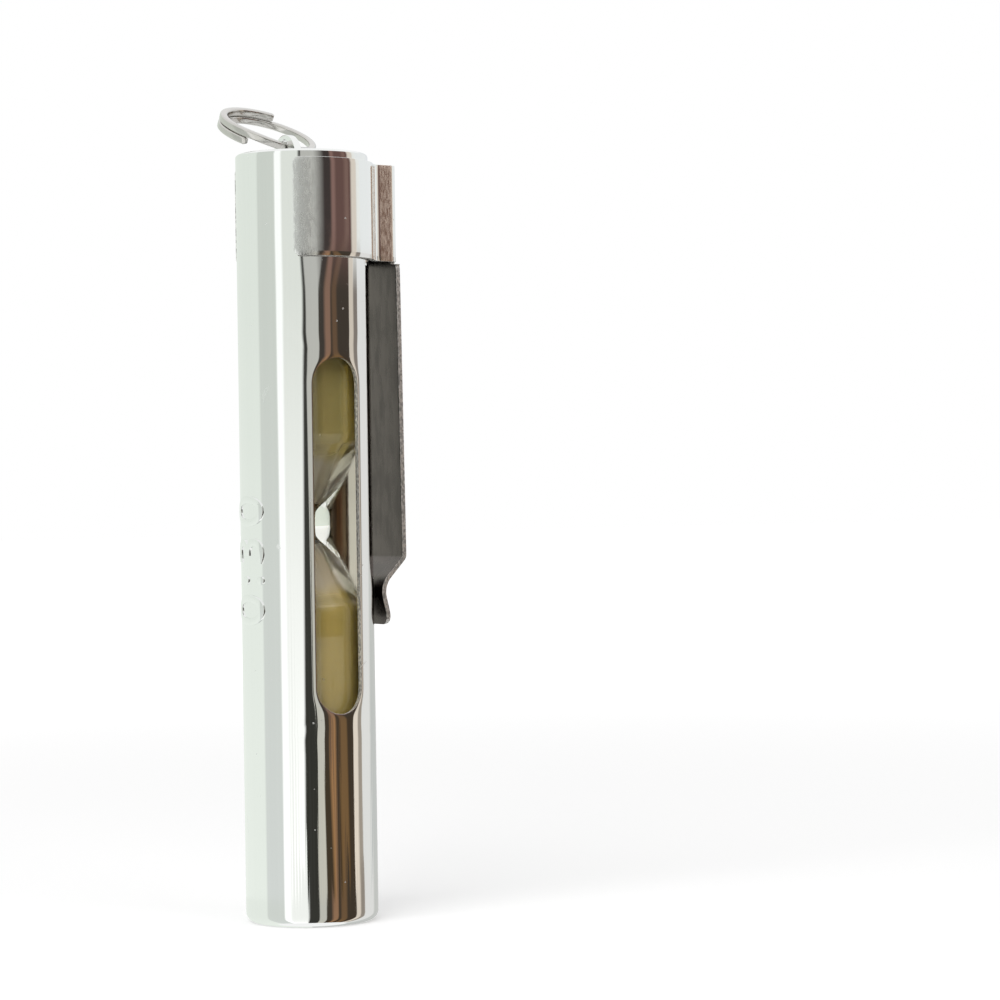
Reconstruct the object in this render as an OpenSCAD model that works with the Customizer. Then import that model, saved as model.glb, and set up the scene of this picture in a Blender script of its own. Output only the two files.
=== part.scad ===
// Pocket sand timer: a sealed sand glass in a slotted metal case, with a pocket clip and a ring.
// Millimetres. Z runs up the case's axis, and the origin is the centre of its flat base.
// The pocket clip is on the +X side. The two windows face -Y and +Y.

/* [Case] */
// Outer diameter of the case
case_od = 14; // [13.5:0.1:16]
// Height of the case, from the flat base to the rolled rim
case_h = 81; // [78:0.5:90]
// Wall of the case
case_wall = 0.45; // [0.35:0.05:0.6]
// Outer radius where the wall turns into the base
base_fillet = 1; // [0.7:0.1:1.5]
// Width and depth of the rim, which is rolled in over the end cap
rim_roll = 0.8; // [0.7:0.05:1]
// Radius of the rim's two upper edges
rim_round = 0.3; // [0.1:0.05:0.35]

/* [Windows] */
// Width of each window
window_w = 5.4; // [4:0.1:6]
// Length of each window, over its round ends
window_len = 37; // [30:0.1:42]
// Height of the middle of the windows above the base
window_mid_z = 40.7; // [39:0.05:43]

/* [End cap and lug] */
// Thickness of the end cap
cap_t = 0.8; // [0.5:0.1:1.2]
// Radial gap between the end cap and the case
cap_clear = 0.03; // [0.01:0.01:0.1]
// Thickness of the lug that holds the ring
lug_t = 0.8; // [0.6:0.1:1]
// Width of the lug, whose top is a half round
lug_w = 5; // [4:0.1:5.4]
// How far the lug is set off the axis, away from the clip
lug_offset = 1.7; // [1:0.1:2.5]
// Radius of the hole in the lug
lug_hole_r = 0.85; // [0.8:0.05:1]
// Metal left above the hole in the lug
lug_wall = 0.5; // [0.4:0.05:0.8]
// Height of the hole's centre above the end cap
lug_hole_h = 1.55; // [1.4:0.05:2]
// Width of the tenon that the lug passes through the end cap
tenon_w = 3; // [2:0.1:3.5]
// Gap round the tenon in its slot
tenon_clear = 0.03; // [0.01:0.01:0.1]

/* [Split ring] */
// Outer diameter of the ring
ring_od = 10.8; // [10:0.1:12]
// Width of the ring's strand, seen along the ring's axis
strand_w = 0.8; // [0.6:0.05:0.9]
// Thickness of the strand, along the ring's axis
strand_t = 0.8; // [0.6:0.05:0.9]
// Gap between the two turns where they lie side by side
turn_gap = 0.06; // [0.04:0.01:0.15]
// Length of the strand, as an angle round the ring
strand_angle = 520; // [480:5:525]
// How far the strand's two ends are turned round the ring, away from opposite the lug
strand_turn = 49; // [0:1:55]
// Angle over which the strand steps from one turn to the other
step_angle = 110; // [80:5:120]
// Angle of the ring's plane above level at rest
ring_rise = 26; // [15:1:45]
// Angle by which the ring leans down towards the clip
ring_lean = 4; // [0:0.5:5]

/* [Clip] */
// Thickness of the clip's sheet
sheet_t = 0.5; // [0.4:0.05:0.7]
// Height of the band that grips the case
band_h = 10.25; // [8:0.25:12]
// How far the band's upper edge lies below the rim
band_drop = 0.95; // [0.8:0.05:2]
// Gap between the band and the case beside the strap
band_clear = 0.05; // [0.03:0.01:0.1]
// How much further the band's open side stands off the case
band_open = 0.2; // [0.1:0.05:0.4]
// Angle from the middle of the clip round to each end of the band
band_reach = 125; // [110:1:135]
// Radius of the corners at the ends of the band
band_corner = 0.5; // [0.3:0.1:1]
// Width of the strap, and of the raised box that carries it
strap_w = 7; // [5.6:0.1:7.4]
// How far the back of the raised box stands out from the case
box_rise = 2.9; // [2.6:0.1:3.5]
// Outer bend radius of the raised box
box_bend = 0.6; // [0.6:0.1:1.2]
// Radius of the hollow bend where the box leaves the band
foot_bend = 0.9; // [0.2:0.05:1.2]
// How much further out the strap stands at its kink
strap_spread = 0.3; // [0:0.05:0.8]
// Length of the strap from its upper end to its kink
strap_len = 31.2; // [25:0.1:34]
// Distance down from the kink to the waist, where the strap comes closest to the case
waist_drop = 3; // [2.8:0.1:6]
// Gap between the strap and the case at the waist
waist_clear = 0.1; // [0.05:0.05:0.3]
// Distance down from the waist to the strap's lower end
tip_drop = 4.1; // [3:0.1:5]
// How far the strap's lower end turns out again
tip_flare = 0.8; // [0.5:0.1:1.4]
// Radius of the corners at the strap's lower end
tip_corner = 1.4; // [0.5:0.1:2.5]
// Inner bend radius of the kink
kink_bend = 0.5; // [0.3:0.1:1.2]
// Inner bend radius of the waist
waist_bend = 2.2; // [0.8:0.1:2.6]
// Gap between the strap's rounded upper end and the band
root_gap = 0.1; // [0.05:0.05:0.2]

/* [Sand glass] */
// Gap between the glass and the bore of the case
glass_clear = 0.55; // [0.3:0.05:1]
// Wall of the glass
glass_wall = 0.8; // [0.5:0.05:1]
// Length of the glass, over its round ends
glass_h = 58; // [52:0.5:62]
// How far the neck lies above the middle of the windows
neck_up = 1.25; // [0:0.05:2]
// Outer diameter of the neck
neck_od = 5; // [4:0.1:5.5]
// Bore of the neck, through which the sand runs
neck_bore = 0.8; // [0.6:0.05:1]
// Length of the straight part of the neck
neck_len = 2.6; // [2:0.1:4]
// Distance from the middle of the neck to the full width of a bulb
cone_h = 8.9; // [7.5:0.1:10]
// Radius of the bends between neck, cone and bulb
glass_bend = 2; // [1:0.1:3]
// Radius at the round ends of the glass
end_round = 4.5; // [3:0.1:5]
// Level of the sand below the middle of the neck
sand_drop = 3; // [2.6:0.1:14]
// Gap between the sand and the glass
sand_clear = 0.02; // [0.01:0.01:0.05]

/* [Pads] */
// Radial gap between the pads and the case
pad_clear = 0.05; // [0.02:0.01:0.2]
// Gap between each pad and the glass, the base or the end cap
pad_seat = 0.05; // [0.02:0.01:0.2]

/* [Hidden] */
$fn = 96;
over = 1;
case_r = case_od / 2;
bore_r = case_r - case_wall;
rim_in_r = case_r - rim_roll;
cap_top = case_h - rim_roll;
cap_bottom = cap_top - cap_t;
hole_z = cap_top + lug_hole_h;
lug_top = hole_z + lug_hole_r + lug_wall;
lug_seat = 0.02;
ring_r = (ring_od - strand_w) / 2;
turn_step = strand_t + turn_gap;
band_top = case_h - band_drop;
band_bottom = band_top - band_h;
band_in_r = case_r + band_clear + band_open;
band_out_r = band_in_r + sheet_t;
back_x = case_r + box_rise;
half_w = strap_w / 2;
root_x = back_x - sheet_t / 2;
root_z = band_bottom - root_gap - sheet_t / 2;
kink_z = root_z - strap_len;
waist_z = kink_z - waist_drop;
tip_z = waist_z - tip_drop;
waist_x = case_r + waist_clear + sheet_t / 2;
neck_z = window_mid_z + neck_up;
glass_r = bore_r - glass_clear;
glass_low = neck_z - glass_h / 2;
glass_high = neck_z + glass_h / 2;

// Points of an arc, from one angle to another
function arc(c, r, a0, a1, steps) =
    [for (i = [0:steps]) c + r * [cos(a0 + (a1 - a0) * i / steps), sin(a0 + (a1 - a0) * i / steps)]];

// All points but the first, for an arc that goes on from the last point of another
function rest(points) = [for (i = [1:len(points) - 1]) points[i]];

function unit(v) = v / norm(v);
function left_of(v) = [-v[1], v[0]];

// A bend of the given radius in place of the corner b of the path a, b, c
function bend(a, b, c, r, steps) =
    let (u = unit(a - b), v = unit(c - b), half = acos(u * v) / 2, m = unit(u + v),
         centre = b + m * r / sin(half), reach = r / tan(half),
         p = b + u * reach - centre, q = b + v * reach - centre,
         a0 = atan2(p[1], p[0]), a1 = atan2(q[1], q[0]),
         turn = a1 - a0 > 180 ? a1 - a0 - 360 : a1 - a0 < -180 ? a1 - a0 + 360 : a1 - a0)
    arc(centre, r, a0, a0 + turn, steps);

// A closed outline of even thickness along a path
function ribbon(path, t) =
    let (n = len(path) - 1,
         side = [for (i = [0:n]) left_of(unit(path[min(i + 1, n)] - path[max(i - 1, 0)])) * t / 2])
    concat([for (i = [0:n]) path[i] + side[i]], [for (i = [n:-1:0]) path[i] - side[i]]);

// Case: a drawn tube with a closed flat base, a rolled rim and two windows
module window_cut() {
    flat = (window_len - window_w) / 2;
    translate([0, 0, window_mid_z]) rotate([90, 0, 0]) {
        for (s = [-1, 1]) translate([0, s * flat, 0])
            cylinder(d = window_w, h = case_od + 2 * over, center = true);
        cube([window_w, 2 * flat, case_od + 2 * over], center = true);
    }
}

module case_tube() {
    base_in = base_fillet - case_wall;
    round_z = case_h - rim_round;
    lip_z = cap_top + cap_clear;
    color("gainsboro") difference() {
        rotate_extrude() polygon(concat(
            [[0, 0]],
            arc([case_r - base_fillet, base_fillet], base_fillet, -90, 0, 8),
            arc([case_r - rim_round, round_z], rim_round, 0, 90, 6),
            arc([rim_in_r + rim_round, round_z], rim_round, 90, 180, 6),
            [[rim_in_r, lip_z], [bore_r, lip_z]],
            arc([case_r - base_fillet, base_fillet], base_in, 0, -90, 8),
            [[0, case_wall]]));
        window_cut();
    }
}

// End cap: a disc held under the rolled rim, slotted for the lug
module end_cap() {
    color("silver") difference() {
        translate([0, 0, cap_bottom]) cylinder(r = bore_r - cap_clear, h = cap_t);
        translate([-lug_offset, 0, cap_bottom + cap_t / 2])
            cube([lug_t + 2 * tenon_clear, tenon_w + 2 * tenon_clear, cap_t + 2 * over], center = true);
    }
}

// Lug: an upright half-round plate with a hole, on a tenon through the end cap
module ring_lug() {
    foot_z = cap_top + lug_seat;
    round_z = lug_top - lug_w / 2;
    color("silver") translate([-lug_offset, 0, 0]) difference() {
        union() {
            translate([0, 0, round_z]) rotate([0, 90, 0]) cylinder(d = lug_w, h = lug_t, center = true);
            translate([-lug_t / 2, -lug_w / 2, foot_z]) cube([lug_t, lug_w, round_z - foot_z]);
        }
        translate([-lug_t, -lug_w, foot_z - lug_w]) cube([2 * lug_t, 2 * lug_w, lug_w]);
        translate([0, 0, hole_z]) rotate([0, 90, 0]) cylinder(r = lug_hole_r, h = 2 * lug_t, center = true);
    }
    color("silver") translate([-lug_offset - lug_t / 2, -tenon_w / 2, cap_bottom])
        cube([lug_t, tenon_w, foot_z - cap_bottom]);
}

// Split ring: one flat strand of nearly one and a half turns that crosses over in the lug's hole.
// Angle 270 of the ring lies in the hole, and two turns lie side by side between the strand's ends.
function strand_level(a) =
    let (s = min(1, max(0, (a - 270) / step_angle + 0.5))) turn_step * (0.5 - s * s * (3 - 2 * s));

module split_ring() {
    steps = ceil(strand_angle / 4);
    bevel = 0.12;
    w = strand_w / 2;
    t = strand_t / 2;
    section = [[w, bevel - t], [w, t - bevel], [w - bevel, t], [bevel - w, t],
               [-w, t - bevel], [-w, bevel - t], [bevel - w, -t], [w - bevel, -t]];
    sides = len(section);
    first = 270 + strand_turn - strand_angle / 2;
    points = [for (i = [0:steps], p = section)
        let (a = first + strand_angle * i / steps)
        [(ring_r + p[0]) * cos(a), (ring_r + p[0]) * sin(a), strand_level(a) + p[1]]];
    walls = [for (i = [0:steps - 1], j = [0:sides - 1], k = [0, 1])
        let (a = i * sides + j, b = i * sides + (j + 1) % sides)
        k == 0 ? [a, b, b + sides] : [a, b + sides, a + sides]];
    ends = [for (j = [1:sides - 2], k = [0, 1])
        k == 0 ? [0, j + 1, j] : [steps * sides, steps * sides + j, steps * sides + j + 1]];
    color("whitesmoke") translate([-lug_offset, 0, hole_z]) rotate([0, ring_lean, 0])
        rotate([ring_rise, 0, 0]) translate([0, ring_r, 0])
            polyhedron(points = points, faces = concat(walls, ends));
}

// Clip band: one bent sheet, sprung round the case, with a raised box that carries the strap.
// The band's own centre is set back from the clip, so its ends stand off the case.
// Half of the sheet's middle line, from an end of the band to the box's outer bend
function band_half() =
    let (band_r = band_in_r + sheet_t / 2, wall_y = half_w - sheet_t / 2,
         foot_r = foot_bend + sheet_t / 2, corner_r = box_bend - sheet_t / 2,
         foot_y = wall_y + foot_r, foot_x = sqrt(pow(band_r + foot_r, 2) - foot_y * foot_y),
         foot_a = atan2(foot_y, foot_x))
    concat(
        arc([-band_open, 0], band_r, band_reach, foot_a, 24),
        rest(arc([foot_x - band_open, foot_y], foot_r, 180 + foot_a, 270, 7)),
        arc([root_x - corner_r, wall_y - corner_r], corner_r, 90, 0, 6));

module corner_cut(r, length) {
    difference() {
        cube([length, r + over, r + over]);
        translate([-over, 0, 0]) rotate([0, 90, 0]) cylinder(r = r, h = length + 2 * over);
    }
}

module clip_band() {
    upper = band_half();
    lower = [for (i = [len(upper) - 1:-1:0]) [upper[i][0], -upper[i][1]]];
    far = band_out_r + over;
    color("lightgray") translate([0, 0, band_bottom]) difference() {
        linear_extrude(height = band_h) polygon(ribbon(concat(upper, lower), sheet_t));
        for (side = [0, 1], up = [0, 1]) mirror([0, side, 0]) translate([-band_open, 0, 0]) rotate(band_reach)
            translate([0, -band_corner, up ? band_h - band_corner : band_corner])
                mirror([0, 0, 1 - up]) corner_cut(band_corner, far);
    }
}

// Clip strap: it hangs from the band's box, kinks in to the case and turns out at its end.
// Where the sheet's middle lines meet at the waist, so that the bend there comes as close as waist_x
function waist_corner(w, kink, tip, r) =
    let (u = unit(kink - w), v = unit(tip - w), half = acos(u * v) / 2)
    [waist_x + r - unit(u + v)[0] * r / sin(half), waist_z];

module clip_strap() {
    waist_r = waist_bend + sheet_t / 2;
    root = [root_x, root_z];
    kink = [root_x + strap_spread, kink_z];
    tip = [waist_x + tip_flare, tip_z];
    waist = waist_corner(waist_corner([waist_x, waist_z], kink, tip, waist_r), kink, tip, waist_r);
    path = concat([root], bend(root, kink, waist, kink_bend + sheet_t / 2, 6),
        bend(kink, waist, tip, waist_r, 10), [tip]);
    color("lightgray") difference() {
        union() {
            rotate([90, 0, 0]) linear_extrude(height = strap_w, center = true) polygon(ribbon(path, sheet_t));
            translate([root_x, 0, root_z]) rotate([90, 0, 0])
                cylinder(d = sheet_t, h = strap_w, center = true);
        }
        for (s = [0, 1]) mirror([0, s, 0]) translate([case_r - over, half_w - tip_corner, tip_z + tip_corner])
            mirror([0, 0, 1]) corner_cut(tip_corner, box_rise);
    }
}

// Sand glass: two bulbs joined by a narrow neck, with round ends and a sealed hollow.
// Half outline of one bulb, from the neck's middle to its end, for a given outer or inner surface
function bulb(r_full, r_neck, height, round_r) =
    concat([[r_neck, 0]],
        bend([r_neck, 0], [r_neck, neck_len / 2], [r_full, cone_h], glass_bend, 6),
        bend([r_neck, neck_len / 2], [r_full, cone_h], [r_full, height], glass_bend, 6),
        arc([r_full - round_r, height - round_r], round_r, 0, 90, 10),
        [[0, height]]);

function flip(pts) = [for (i = [len(pts) - 1:-1:0]) [pts[i][0], -pts[i][1]]];

module bulbs(inset, r_neck) {
    half = bulb(glass_r - inset, r_neck, glass_h / 2 - inset, end_round - inset);
    rotate_extrude() polygon(concat(flip(half), half));
}

module sand_glass() {
    color("honeydew", 0.4) translate([0, 0, neck_z]) difference() {
        bulbs(0, neck_od / 2);
        bulbs(glass_wall, neck_bore / 2);
    }
}

// Sand: fills the lower bulb up to a level top
module sand() {
    color("darkgoldenrod") translate([0, 0, neck_z]) difference() {
        bulbs(glass_wall + sand_clear, neck_bore / 2 - sand_clear);
        translate([0, 0, glass_h - sand_drop]) cube([case_od, case_od, 2 * glass_h], center = true);
    }
}

// Pads: cork discs that hold the glass between the base and the end cap
module pad(z0, z1) {
    color("burlywood") translate([0, 0, z0]) cylinder(r = bore_r - pad_clear, h = z1 - z0);
}

module lower_pad() { pad(case_wall + pad_seat, glass_low - pad_seat); }
module upper_pad() { pad(glass_high + pad_seat, cap_bottom - pad_seat); }

case_tube();
end_cap();
ring_lug();
split_ring();
clip_band();
clip_strap();
sand_glass();
sand();
lower_pad();
upper_pad();
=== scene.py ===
# Pocket sand timer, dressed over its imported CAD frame. Metres, +Z up, origin at the centre of the base.
import math

import bmesh
import bpy
import numpy as np
from mathutils import Matrix, Vector


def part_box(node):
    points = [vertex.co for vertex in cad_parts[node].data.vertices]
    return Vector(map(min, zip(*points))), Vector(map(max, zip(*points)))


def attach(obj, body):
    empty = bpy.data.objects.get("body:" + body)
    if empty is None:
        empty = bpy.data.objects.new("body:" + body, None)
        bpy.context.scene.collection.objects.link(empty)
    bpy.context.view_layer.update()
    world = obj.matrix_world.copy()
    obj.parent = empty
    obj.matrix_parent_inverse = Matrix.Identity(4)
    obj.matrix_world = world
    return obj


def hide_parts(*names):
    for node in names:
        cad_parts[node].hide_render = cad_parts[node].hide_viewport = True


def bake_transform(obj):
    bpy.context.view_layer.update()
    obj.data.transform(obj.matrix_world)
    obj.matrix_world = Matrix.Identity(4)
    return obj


bl_info = {
    "name": "Pocket Sand Timer",
    "version": (1, 0, 0),
    "blender": (4, 5, 0),
    "location": "View3D > Sidebar > Sand Timer",
    "description": "Builds a chromed pocket sand timer with its clip, ring, glass and sand",
    "category": "Object",
}

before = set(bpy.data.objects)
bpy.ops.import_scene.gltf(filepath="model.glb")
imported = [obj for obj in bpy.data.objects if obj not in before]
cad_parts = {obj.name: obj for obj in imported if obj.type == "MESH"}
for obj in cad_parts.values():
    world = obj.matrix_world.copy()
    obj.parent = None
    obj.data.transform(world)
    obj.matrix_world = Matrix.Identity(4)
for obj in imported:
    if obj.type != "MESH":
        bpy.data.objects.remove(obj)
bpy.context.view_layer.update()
CASE_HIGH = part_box("case_tube")[1]
BAND_LOW, BAND_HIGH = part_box("clip_band")
STRAP_LOW, STRAP_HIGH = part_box("clip_strap")
GLASS_LOW, GLASS_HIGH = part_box("sand_glass")

MM = 0.001
# Points nearer than this are merged, and a place counts as reached within the smaller distance
MERGE = 2e-6
NEAR = 1e-6
# Edges that turn by more than this are softened
SHARP = math.radians(40)
# The height of a figure as a share of the type's size
FIGURE_SHARE = 0.72
# The middle of the lug's hole, in which the ring hangs
LUG_HOLE = (-1.7 * MM, 0, 81.75 * MM)


# Sizes and colours

def length(name, value, description):
    return bpy.props.FloatProperty(
        name=name, description=description, default=value, unit="LENGTH", subtype="DISTANCE", precision=5)


def tint(name, value, description):
    return bpy.props.FloatVectorProperty(
        name=name, description=description, default=value, size=3, min=0, max=1, subtype="COLOR")


def number(name, value, description):
    return bpy.props.FloatProperty(name=name, description=description, default=value, precision=4)


class TimerSizes(bpy.types.PropertyGroup):
    """Sizes of the dressed pieces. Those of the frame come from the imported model."""
    case_radius: length("Case radius", CASE_HIGH.x, "Outer radius of the case")
    case_height: length("Case height", CASE_HIGH.z, "Height of the case")
    case_wall: length("Case wall", 0.45 * MM, "Thickness of the case's wall")
    base_fillet: length("Base fillet", 1.0 * MM, "Outer radius between wall and base")
    rim_roll: length("Rim roll", 0.8 * MM, "Width and depth of the rolled rim")
    rim_round: length("Rim edge", 0.3 * MM, "Radius of the rim's edges")
    rim_lip: length("Rim lip", 0.35 * MM, "How far the rolled rim runs down inside")
    window_width: length("Window width", 5.4 * MM, "Width of each window")
    window_length: length("Window length", 37.0 * MM, "Length of each window over its round ends")
    window_middle: length("Window middle", 40.7 * MM, "Height of the middle of the windows")
    window_dish: length("Window dish", 0.045 * MM, "How far the wall is pressed in at a window's edge")
    sheet: length("Clip sheet", 0.5 * MM, "Thickness of the clip's sheet")
    strap_width: length("Strap width", STRAP_HIGH.y * 2, "Width of the clip's strap")
    box_bend: length("Box bend", 1.15 * MM, "Outer bend radius of the clip's raised box")
    foot_bend: length("Foot bend", 1.6 * MM, "Radius of the hollow bend at the foot of the box")
    band_clear: length("Band clearance", 0.05 * MM, "Gap between the case and the band beside the clip")
    band_set: length("Band set", 0.2 * MM, "How far the band's own centre is set back from the clip")
    band_reach: number("Band reach", 125, "Degrees from the clip round to each end of the band")
    band_corner: length("Band corner", 0.5 * MM, "Corner radius at the band's ends")
    shoulder_corner: length("Shoulder corner", 0.45 * MM, "Corner radius at the strap's upper end")
    tip_corner: length("Tip corner", 1.4 * MM, "Corner radius at the strap's lower end")
    kink_out: length("Kink offset", 0.3 * MM, "How much further out the strap stands at its kink")
    kink_height: length("Kink height", BAND_LOW.z - 31.55 * MM, "Height of the strap's kink")
    kink_bend: length("Kink bend", 0.5 * MM, "Inner bend radius of the kink")
    waist_drop: length("Waist drop", 3.0 * MM, "Distance down from the kink to the strap's waist")
    waist_bend: length("Waist bend", 2.2 * MM, "Inner bend radius of the waist")
    waist_clear: length("Waist clearance", 0.1 * MM, "Gap between the case and the strap's waist")
    tip_flare: length("Tip flare", 0.8 * MM, "How far the strap's lower end turns out again")
    ring_diameter: length("Ring diameter", 10.8 * MM, "Outer diameter of the split ring")
    strand: length("Strand", 0.8 * MM, "Width of the ring's flat strand")
    strand_round: length("Strand edge", 0.2 * MM, "Edge radius of the ring's strand")
    turn_step: length("Turn step", 0.86 * MM, "Distance between the ring's two turns")
    ring_rise: number("Ring rise", 26, "Degrees that the ring is raised from lying flat")
    ring_lean: number("Ring lean", 4, "Degrees that the ring leans towards the clip")
    glass_wall: length("Glass wall", 0.8 * MM, "Thickness of the glass")
    neck_radius: length("Neck radius", 2.5 * MM, "Outer radius of the glass's neck")
    neck_bore: length("Neck bore", 0.4 * MM, "Radius of the bore through the neck")
    neck_straight: length("Straight neck", 1.3 * MM, "Length of the straight neck to each side of its middle")
    cone_height: length("Cone height", 8.9 * MM, "Height from the neck's middle at which a bulb is full")
    bulb_bend: length("Bulb bend", 2.0 * MM, "Bend radius between a bulb's cone and its wall")
    bulb_end: length("Bulb end", 4.5 * MM, "Edge radius at a bulb's far end")
    # Above this height the sand is painted paler, a painted reflection of light off the glass's cone
    pale_from: length("Pale sand from", 34.4 * MM, "Height from which the sand turns paler")
    mark_height: length("Mark height", 5.1 * MM, "Height of the raised number's figures")
    mark_rise: length("Mark rise", 0.16 * MM, "How far the raised number stands out")
    mark_middle: length("Mark middle", 38.2 * MM, "Height of the raised number's middle")


class TimerColours(bpy.types.PropertyGroup):
    """Colours of the finishes."""
    chrome: tint("Chrome", (0.90, 0.91, 0.90), "Bright plated case, cap and clip")
    brass: tint("Inside of the case", (0.70, 0.63, 0.55), "Bare brass of the case's inner wall")
    # The near-black colour of the clip's inner face is a painted dark reflection
    clip_inside: tint("Inside of the clip", (0.106, 0.090, 0.082), "Dull inner face of the clip")
    cut_edge: tint("Cut edges", (0.78, 0.77, 0.75), "Sheared edges of the clip's sheet")
    ring: tint("Ring", (0.62, 0.605, 0.58), "Nickel of the split ring")
    glass: tint("Glass", (0.95, 0.96, 0.90), "Tint of the blown glass")
    # The film's colour is a painted reflection of the case's brass inside, paler in the narrow parts as a painted
    # reflection of light off the cones
    film: tint("Painted film", (0.84, 0.70, 0.28), "Film in the bulbs, painted reflection of the case's brass")
    film_pale: tint("Pale painted film", (0.96, 0.88, 0.72), "Paler painted reflection in the bulbs' narrow parts")
    sand: tint("Sand", (0.44, 0.335, 0.10), "Golden sand where the glass is straight")
    # The pale sand colour is a painted reflection of light off the glass's cone
    sand_pale: tint("Pale sand", (0.80, 0.67, 0.46), "Sand in the narrow part, painted paler as reflection")
    cork: tint("Cork", (0.42, 0.27, 0.14), "Pressed cork")


class StudioSettings(bpy.types.PropertyGroup):
    """The camera, the lamps and the panels round the timer."""
    camera_azimuth: number("Camera azimuth", -29.291, "Degrees round the timer, from the -Y side")
    camera_distance: length("Camera distance", 312.85 * MM, "From the timer's axis to the camera")
    camera_height: length("Camera height", 44.51 * MM, "Height of the camera above the base")
    camera_yaw: number("Camera yaw", -3.763, "Degrees that the camera looks past the timer")
    camera_pitch: number("Camera pitch", -0.061, "Degrees that the camera looks up")
    camera_roll: number("Camera roll", -0.838, "Degrees that the camera is rolled")
    camera_lens: number("Camera lens", 105.94, "Focal length in millimetres on a 36 mm sensor")
    panel_distance: length("Panel distance", 0.7, "From the timer to the panels that the metal reflects")
    floor_size: length("Floor size", 6.0, "Side of the floor")
    key_power: number("Key power", 2.0, "Power of the large soft lamp, in watts")
    fill_power: number("Fill power", 0.7, "Power of the second lamp, in watts")
    world_level: number("World level", 0.55, "Light that the world throws on dull surfaces")


# Modelling

def clear_selection():
    if bpy.context.object is not None and bpy.context.object.mode == "EDIT":
        bpy.ops.object.mode_set(mode="OBJECT")
    bpy.ops.object.select_all(action="DESELECT")


def choose(*pieces):
    """Selects pieces, the first of them active."""
    clear_selection()
    for piece in pieces:
        piece.select_set(True)
    bpy.context.view_layer.objects.active = pieces[0]


def select_all():
    bpy.ops.mesh.select_all(action="SELECT")


def edit_all():
    bpy.ops.object.mode_set(mode="EDIT")
    select_all()


def leave_edit():
    bpy.ops.object.mode_set(mode="OBJECT")


def add_object(add, name, **settings):
    """Adds an object with one of Blender's own operators and names it."""
    clear_selection()
    add(**settings)
    made = bpy.context.active_object
    made.name = made.data.name = name
    return made


def begin_point(name, at):
    """A new piece in edit mode with a single point, which is selected."""
    piece = add_object(bpy.ops.mesh.primitive_plane_add, name, size=MM)
    edit_all()
    bpy.ops.mesh.merge(type="CENTER")
    bpy.ops.transform.translate(value=at)
    return piece


def draw_on(step, count=1):
    """Extrudes the selected point along a line, in equal steps."""
    for _ in range(count):
        bpy.ops.mesh.extrude_vertices_move(TRANSFORM_OT_translate={"value": Vector(step) / count})


def widen(step, count=1):
    """Extrudes the selected edges along a line, in equal steps."""
    for _ in range(count):
        bpy.ops.mesh.extrude_edges_move(TRANSFORM_OT_translate={"value": Vector(step) / count})


def turn(degrees, steps, centre, axis):
    """Spins what is selected round an axis, by the right-hand rule."""
    bpy.ops.mesh.spin(steps=steps, angle=-math.radians(degrees), center=centre, axis=axis, use_auto_merge=False)


def pick(piece, test):
    """Selects the points whose place passes a test, with the edges and faces between them."""
    bpy.ops.mesh.select_mode(type="VERT")
    bpy.ops.mesh.select_all(action="DESELECT")
    mesh = bmesh.from_edit_mesh(piece.data)
    for vertex in mesh.verts:
        vertex.select_set(bool(test(vertex.co)))
    mesh.select_flush(True)
    bmesh.update_edit_mesh(piece.data)


def close_up(inside=False):
    """Merges doubled points and turns every face outwards."""
    select_all()
    bpy.ops.mesh.remove_doubles(threshold=MERGE)
    bpy.ops.mesh.normals_make_consistent(inside=inside)


def points_of(piece):
    """The piece's points as an array, in object mode."""
    places = np.zeros(len(piece.data.vertices) * 3)
    piece.data.vertices.foreach_get("co", places)
    return places.reshape(-1, 3)


def put_points(piece, places):
    piece.data.vertices.foreach_set("co", np.asarray(places, float).ravel())
    piece.data.update()


def finish_with(piece, kind, **settings):
    """Adds a modifier and applies it."""
    modifier = piece.modifiers.new(kind.title(), kind)
    for key, value in settings.items():
        setattr(modifier, key, value)
    choose(piece)
    bpy.ops.object.modifier_apply(modifier=modifier.name)


def flip_faces():
    edit_all()
    bpy.ops.mesh.flip_normals()
    leave_edit()


def turn_faces(piece, towards, test=lambda centre: True):
    """Flips a whole sheet if its faces, or those whose centre passes a test, look away from a direction."""
    if sum(f.normal.dot(towards) * f.area for f in piece.data.polygons if test(f.center)) < 0:
        flip_faces()


def subdivide_smooth(piece):
    finish_with(piece, "SUBSURF", levels=1, render_levels=1, boundary_smooth="PRESERVE_CORNERS")


def thicken(piece, thickness, offset):
    """Makes a sheet a solid whose back and rim have the second and the third material."""
    finish_with(piece, "SOLIDIFY", thickness=thickness, offset=offset, use_even_offset=True,
                material_offset=1, material_offset_rim=2)


def soften_edges(piece, width, segments=2):
    finish_with(piece, "BEVEL", width=width, segments=segments, limit_method="ANGLE", angle_limit=SHARP,
                use_clamp_overlap=True)


def smooth(piece, degrees):
    choose(piece)
    bpy.ops.object.shade_smooth_by_angle(angle=math.radians(degrees))


def coat(piece, *materials):
    piece.data.materials.clear()
    for material in materials:
        piece.data.materials.append(material)


def place_piece(piece, body, slot, *replaced):
    """Gives a finished piece its body and hides the CAD nodes that it stands for. Its slot is not used."""
    if body:
        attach(piece, body)
    if replaced:
        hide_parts(*replaced)


def lathe(name, outline, steps):
    """A turned piece from an outline of (radius, height) points on the axis at both ends."""
    piece = begin_point(name, (outline[0][0], 0, outline[0][1]))
    for (r0, z0), (r1, z1) in zip(outline, outline[1:]):
        draw_on((r1 - r0, 0, z1 - z0))
    select_all()
    turn(360, steps, (0, 0, 0), (0, 0, 1))
    close_up()
    leave_edit()
    return piece


def arc(cx, cz, radius, start, end, steps):
    """Points of an arc, in degrees."""
    angles = [math.radians(start + (end - start) * i / steps) for i in range(steps + 1)]
    return [(cx + radius * math.cos(a), cz + radius * math.sin(a)) for a in angles]


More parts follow.
